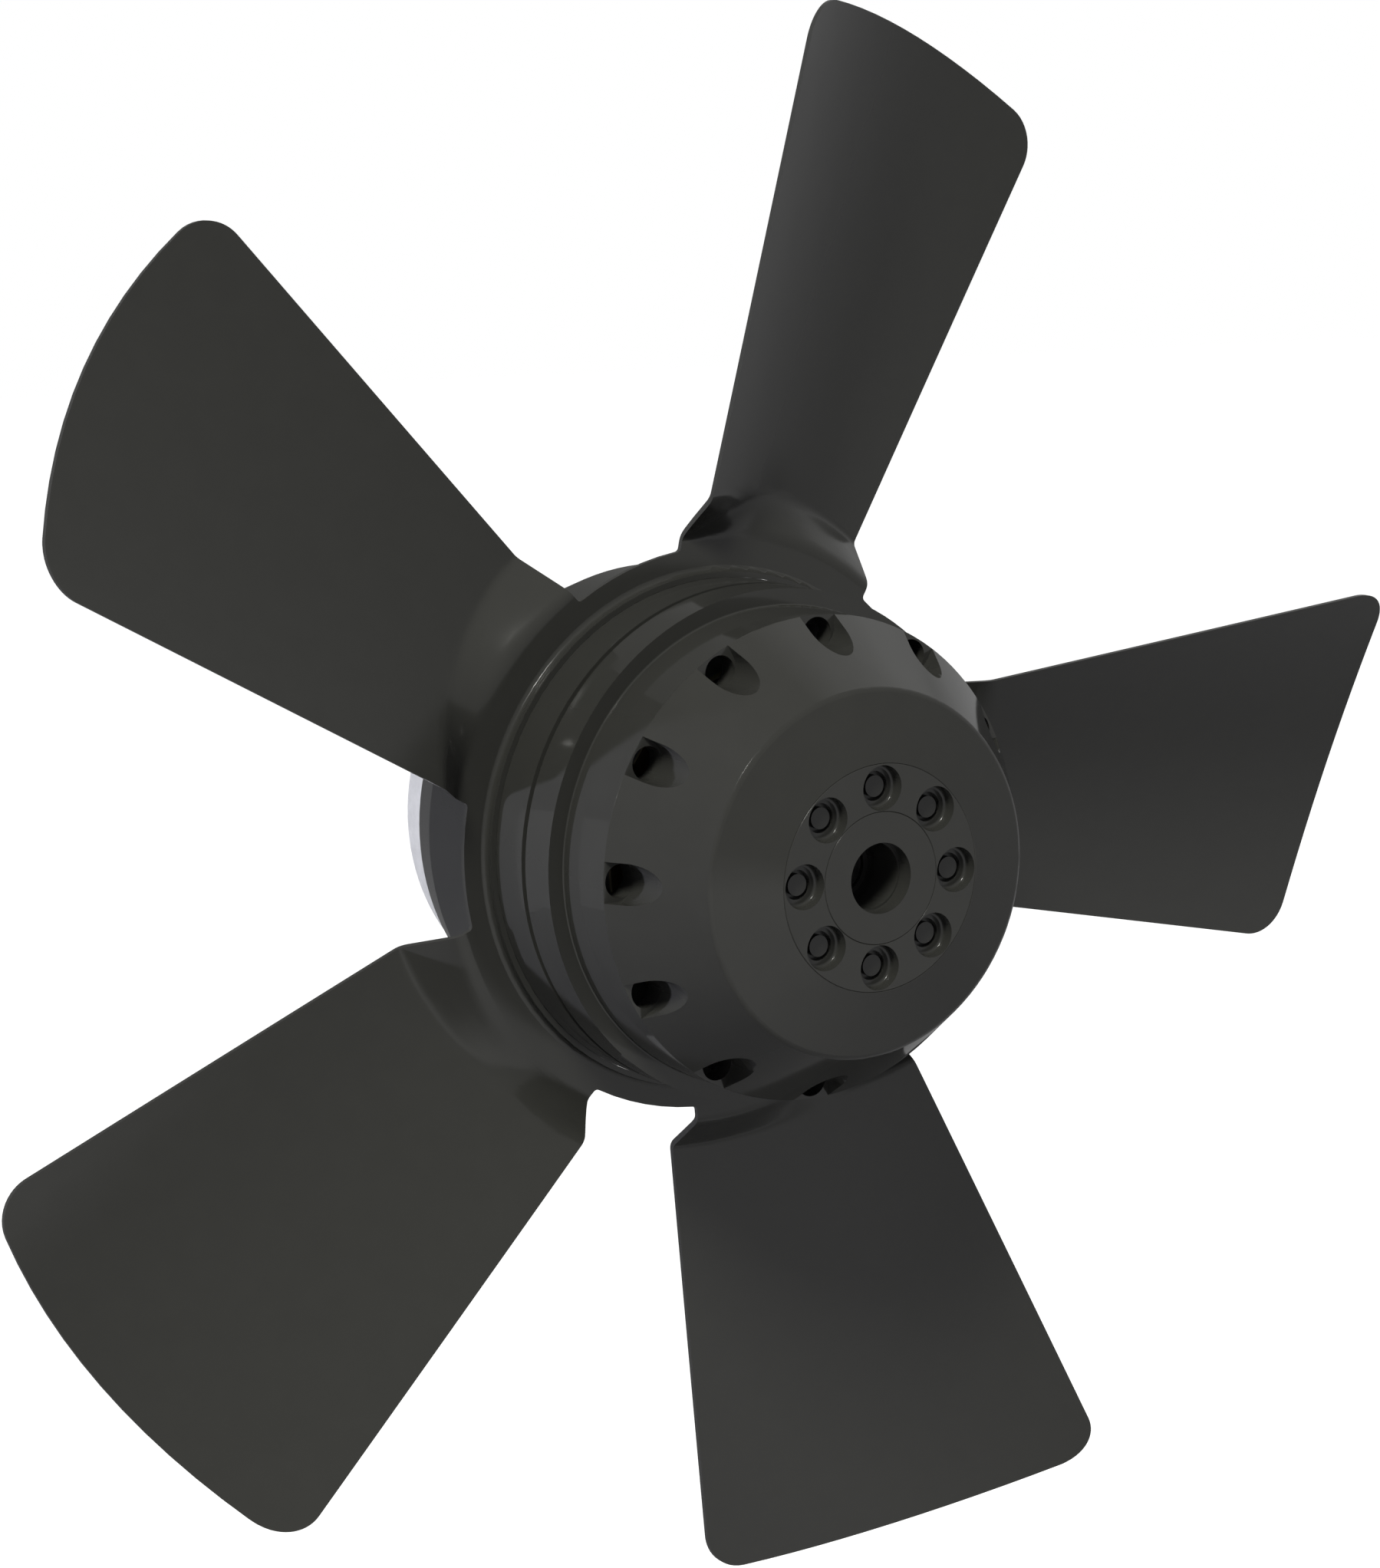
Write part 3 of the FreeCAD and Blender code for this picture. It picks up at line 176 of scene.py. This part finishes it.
class Material(Nodes):
    """A material whose noises set its tone, its roughness and its relief."""

    def __init__(self, name):
        self.data = bpy.data.materials.new(name)
        self.data.use_nodes = True
        super().__init__(self.data.node_tree)
        self.shader = self.tree.nodes["Principled BSDF"]
        self.place = self.add("ShaderNodeTexCoord").outputs["Object"]

    def noise(self, scale, detail, roughness=0.5, stretch=EVEN):
        """Noise that stays with the object and repeats about scale times to the metre."""
        mapping = self.add("ShaderNodeMapping")
        mapping.inputs["Scale"].default_value = stretch
        self.link(self.place, mapping.inputs["Vector"])
        noise = self.add("ShaderNodeTexNoise")
        noise.inputs["Scale"].default_value = scale
        noise.inputs["Detail"].default_value = detail
        noise.inputs["Roughness"].default_value = roughness
        self.link(mapping.outputs["Vector"], noise.inputs["Vector"])
        return noise.outputs["Fac"]

    def colour(self, source, tones, stops=GRAIN_STOPS):
        """Let a noise lead from the darkest tone to the lightest."""
        ramp = self.add("ShaderNodeValToRGB")
        for element, stop, tone in zip(ramp.color_ramp.elements, stops, tones):
            element.position = stop
            element.color = tone
        self.link(source, ramp.inputs["Fac"])
        self.link(ramp.outputs["Color"], self.shader.inputs["Base Color"])

    def roughen(self, source, rough, spread):
        """Let a noise move the roughness about a value."""
        down, up = spread
        self.link(self.ramped(source, rough + down, rough + up), self.shader.inputs["Roughness"])

    def bump(self, source, strength, depth):
        """Let a noise raise and sink the surface."""
        node = self.add("ShaderNodeBump")
        node.inputs["Strength"].default_value = strength
        node.inputs["Distance"].default_value = depth
        self.link(source, node.inputs["Height"])
        self.link(node.outputs["Normal"], self.shader.inputs["Normal"])


def paint(name, tones, rough):
    """Satin black paint: faint mottling, orange peel and an even sheen."""
    material = Material(name)
    material.shader.inputs["Specular IOR Level"].default_value = PAINT_GLOSS
    material.colour(material.noise(MOTTLE_GRAIN, detail=4), tones, MOTTLE_STOPS)
    material.roughen(material.noise(SHEEN_GRAIN, detail=2), rough, SHEEN_SPREAD)
    material.bump(material.noise(PEEL_GRAIN, detail=2), PEEL_STRENGTH, PEEL_DEPTH)
    return material.data


def metal(name, tones, rough, stretch=EVEN, scale=300, share=1.0):
    """Bare metal with fine streaks or grain, or half metallic where its skin is blasted matt."""
    material = Material(name)
    material.shader.inputs["Metallic"].default_value = share
    grain = material.noise(scale, detail=5, roughness=0.6, stretch=stretch)
    material.colour(grain, tones)
    material.roughen(grain, rough, METAL_SPREAD)
    material.bump(grain, METAL_STRENGTH, GRAIN_DEPTH)
    return material.data


def plain(name, tones, rough, scale=250, strength=0.1):
    """Moulded plastic, rubber or resin with a fine skin."""
    material = Material(name)
    grain = material.noise(scale, detail=4)
    material.colour(grain, tones)
    material.roughen(grain, rough, SKIN_SPREAD)
    material.bump(grain, strength, GRAIN_DEPTH)
    return material.data


looks = {
    "rotor_bell": paint("rotor_paint", BLACK_PAINT, rough=0.1),
    "impeller": paint("impeller_paint", BLACK_PAINT, rough=0.18),
    "hub_flange": paint("hub_paint", BLACK_PAINT, rough=0.2),
    "hub_bush": paint("bush_paint", BLACK_PAINT, rough=0.2),
    "hub_rivets": paint("rivet_paint", RIVET_PAINT, rough=0.24),
    "stator_flange": metal("flange_cast", BLASTED_ALUMINIUM, rough=0.4, scale=500, share=0.5),
    # the shaft's dark tone is painted shade, so that the bore in the hub stays black
    "shaft": metal("shaft_steel", BORE_SHADE_STEEL, rough=0.35, stretch=TURNED),
    "cable_grommet": plain("grommet_rubber", RUBBER, rough=0.6),
    "bearing_cap": metal("cap_zinc", ZINC, rough=0.3),
    "stator_stack": metal("stator_sheet", SHEET_STEEL, rough=0.4, stretch=LAYERED),
    "rotor_core": metal("rotor_sheet", SHEET_STEEL, rough=0.4, stretch=LAYERED),
    "squirrel_cage": metal("cage_cast", CAST_ALUMINIUM, rough=0.4),
    # the winding's dark tone is partly its varnish and partly painted shade inside the vents
    "winding": plain("varnish_and_shade_wire", VARNISH_AND_SHADE_WIRE, rough=0.4, scale=700, strength=0.3),
    "thermal_cutout": plain("cutout_case", CUTOUT_PLASTIC, rough=0.35),
    "wave_washer": metal("washer_steel", SPRING_STEEL, rough=0.25),
    "shaft_clip": metal("clip_steel", CLIP_STEEL, rough=0.3),
}
for insulator in ("rear_insulator", "front_insulator"):
    looks[insulator] = plain(f"{insulator}_nylon", NYLON, rough=0.5)
for end in ("rear", "front"):
    for piece in ("outer_race", "inner_race", "balls"):
        looks[f"{end}_{piece}"] = metal(f"{end}_{piece}_steel", BEARING_STEEL, rough=0.18)
    looks[f"{end}_cage"] = metal(f"{end}_cage_brass", BRASS, rough=0.3)
for name, look in looks.items():
    mesh = nodes[name].data
    mesh.materials.clear()
    mesh.materials.append(look)


def mirrored_room(sky):
    """Brightness of the studio in a mirror, by the direction that it looks in."""
    direction = sky.add("ShaderNodeTexCoord").outputs["Generated"]
    split = sky.add("ShaderNodeSeparateXYZ")
    sky.link(direction, split.inputs["Vector"])
    in_front = sky.ramped(split.outputs["Y"], 1.0, 0.0, FRONT_BETWEEN)
    below = sky.ramped(split.outputs["Z"], PAPER_MIRRORED, 0.0, BELOW_BETWEEN)
    around = sky.facing(direction, DIM_SIDE, ROOM_MIRRORED, DIM_MIRRORED, DIM_BETWEEN)
    window = sky.facing(direction, WINDOW_SIDE, 0.0, WINDOW_MIRRORED, WINDOW_BETWEEN)
    walls = sky.calculate("ADD", around, window)
    return sky.calculate("MULTIPLY_ADD", in_front, below, walls)


def background(sky, strength):
    """White light of a strength that is a number or another node's output."""
    node = sky.add("ShaderNodeBackground")
    node.inputs["Color"].default_value = grey(1.0)
    if isinstance(strength, float):
        node.inputs["Strength"].default_value = strength
    else:
        sky.link(strength, node.inputs["Strength"])
    return node.outputs["Background"]


def add_world():
    """A pale studio, white where the camera sees it."""
    world = bpy.data.worlds.new("studio")
    world.use_nodes = True
    bpy.context.scene.world = world
    world.node_tree.nodes.clear()
    sky = Nodes(world.node_tree)
    shades = (
        (("Is Glossy Ray",), mirrored_room(sky)),
        (("Is Camera Ray", "Is Transmission Ray"), 1.0),
    )
    shader = background(sky, ROOM_LIGHT)
    for kinds, strength in shades:
        mix = sky.add("ShaderNodeMixShader")
        sky.link(sky.seen(*kinds), mix.inputs["Fac"])
        sky.link(shader, mix.inputs[1])
        sky.link(background(sky, strength), mix.inputs[2])
        shader = mix.outputs["Shader"]
    output = sky.add("ShaderNodeOutputWorld")
    sky.link(shader, output.inputs["Surface"])


def add_camera():
    """The photograph's camera, held level."""
    data = bpy.data.cameras.new("photo_camera")
    data.sensor_fit = "AUTO"
    data.sensor_width = SENSOR
    data.lens = LENS
    data.shift_x, data.shift_y = SHIFT
    data.clip_start = CLIP_NEAR
    data.clip_end = CLIP_FAR
    camera = bpy.data.objects.new("photo_camera", data)
    back = -CAMERA_VIEW.normalized()
    side = Vector((0, 0, 1)).cross(back).normalized()
    up = back.cross(side)
    turn = Matrix((side, up, back)).transposed()
    camera.matrix_world = Matrix.Translation(CAMERA_PLACE) @ turn.to_4x4()
    bpy.context.scene.collection.objects.link(camera)
    bpy.context.scene.camera = camera


def add_floor():
    """Pale paper far enough below that the shadow stays on it, glowing where the camera sees it.

    Mirrors see the world's paper through it.
    """
    mesh = bpy.data.meshes.new("floor")
    level = cad_box[0][2] - FLOOR_DROP
    low, high = -FLOOR_REACH, FLOOR_REACH
    corners = [(low, low, level), (high, low, level), (high, high, level), (low, high, level)]
    mesh.from_pydata(corners, [], [(0, 1, 2, 3)])
    floor = bpy.data.objects.new("floor", mesh)
    bpy.context.scene.collection.objects.link(floor)
    material = Material("floor_paper")
    material.colour(material.noise(FLOOR_GRAIN, detail=2), PAPER)
    material.shader.inputs["Roughness"].default_value = FLOOR_ROUGH
    material.shader.inputs["Emission Color"].default_value = grey(1.0)
    looking = material.seen("Is Camera Ray", "Is Transmission Ray")
    material.link(material.ramped(looking, 0.0, FLOOR_GLOW), material.shader.inputs["Emission Strength"])
    mesh.materials.append(material.data)
    floor.visible_glossy = False


def add_lamp(name, stand, width, power, colour, diffuse=True, glossy=True):
    """A square lamp that faces the fan, and can leave out matt surfaces or mirrors."""
    bearing, height, distance = stand
    turn = math.radians(bearing)
    lift = math.radians(height)
    towards = Vector((math.sin(turn) * math.cos(lift), -math.cos(turn) * math.cos(lift), math.sin(lift)))
    data = bpy.data.lights.new(name, "AREA")
    data.shape = "SQUARE"
    data.size = width
    data.energy = power
    data.color = colour
    light = bpy.data.objects.new(name, data)
    light.location = FAN_MIDDLE + towards * distance
    light.rotation_euler = (-towards).to_track_quat("-Z", "Y").to_euler()
    light.visible_diffuse = diffuse
    light.visible_glossy = glossy
    bpy.context.scene.collection.objects.link(light)


add_world()
add_camera()
add_floor()
# the key and the rim light matt surfaces, and mirrors show a weaker lamp in the place of each
add_lamp("key", KEY_STAND, width=0.6, power=78, colour=KEY_TINT, glossy=False)
add_lamp("glint", KEY_STAND, width=0.14, power=30, colour=GLINT_TINT, diffuse=False)
add_lamp("rim", RIM_STAND, width=0.1, power=52, colour=RIM_TINT, glossy=False)
add_lamp("rim_glint", RIM_STAND, width=0.1, power=3, colour=RIM_TINT, diffuse=False)

bpy.context.scene.view_settings.view_transform = "Standard"
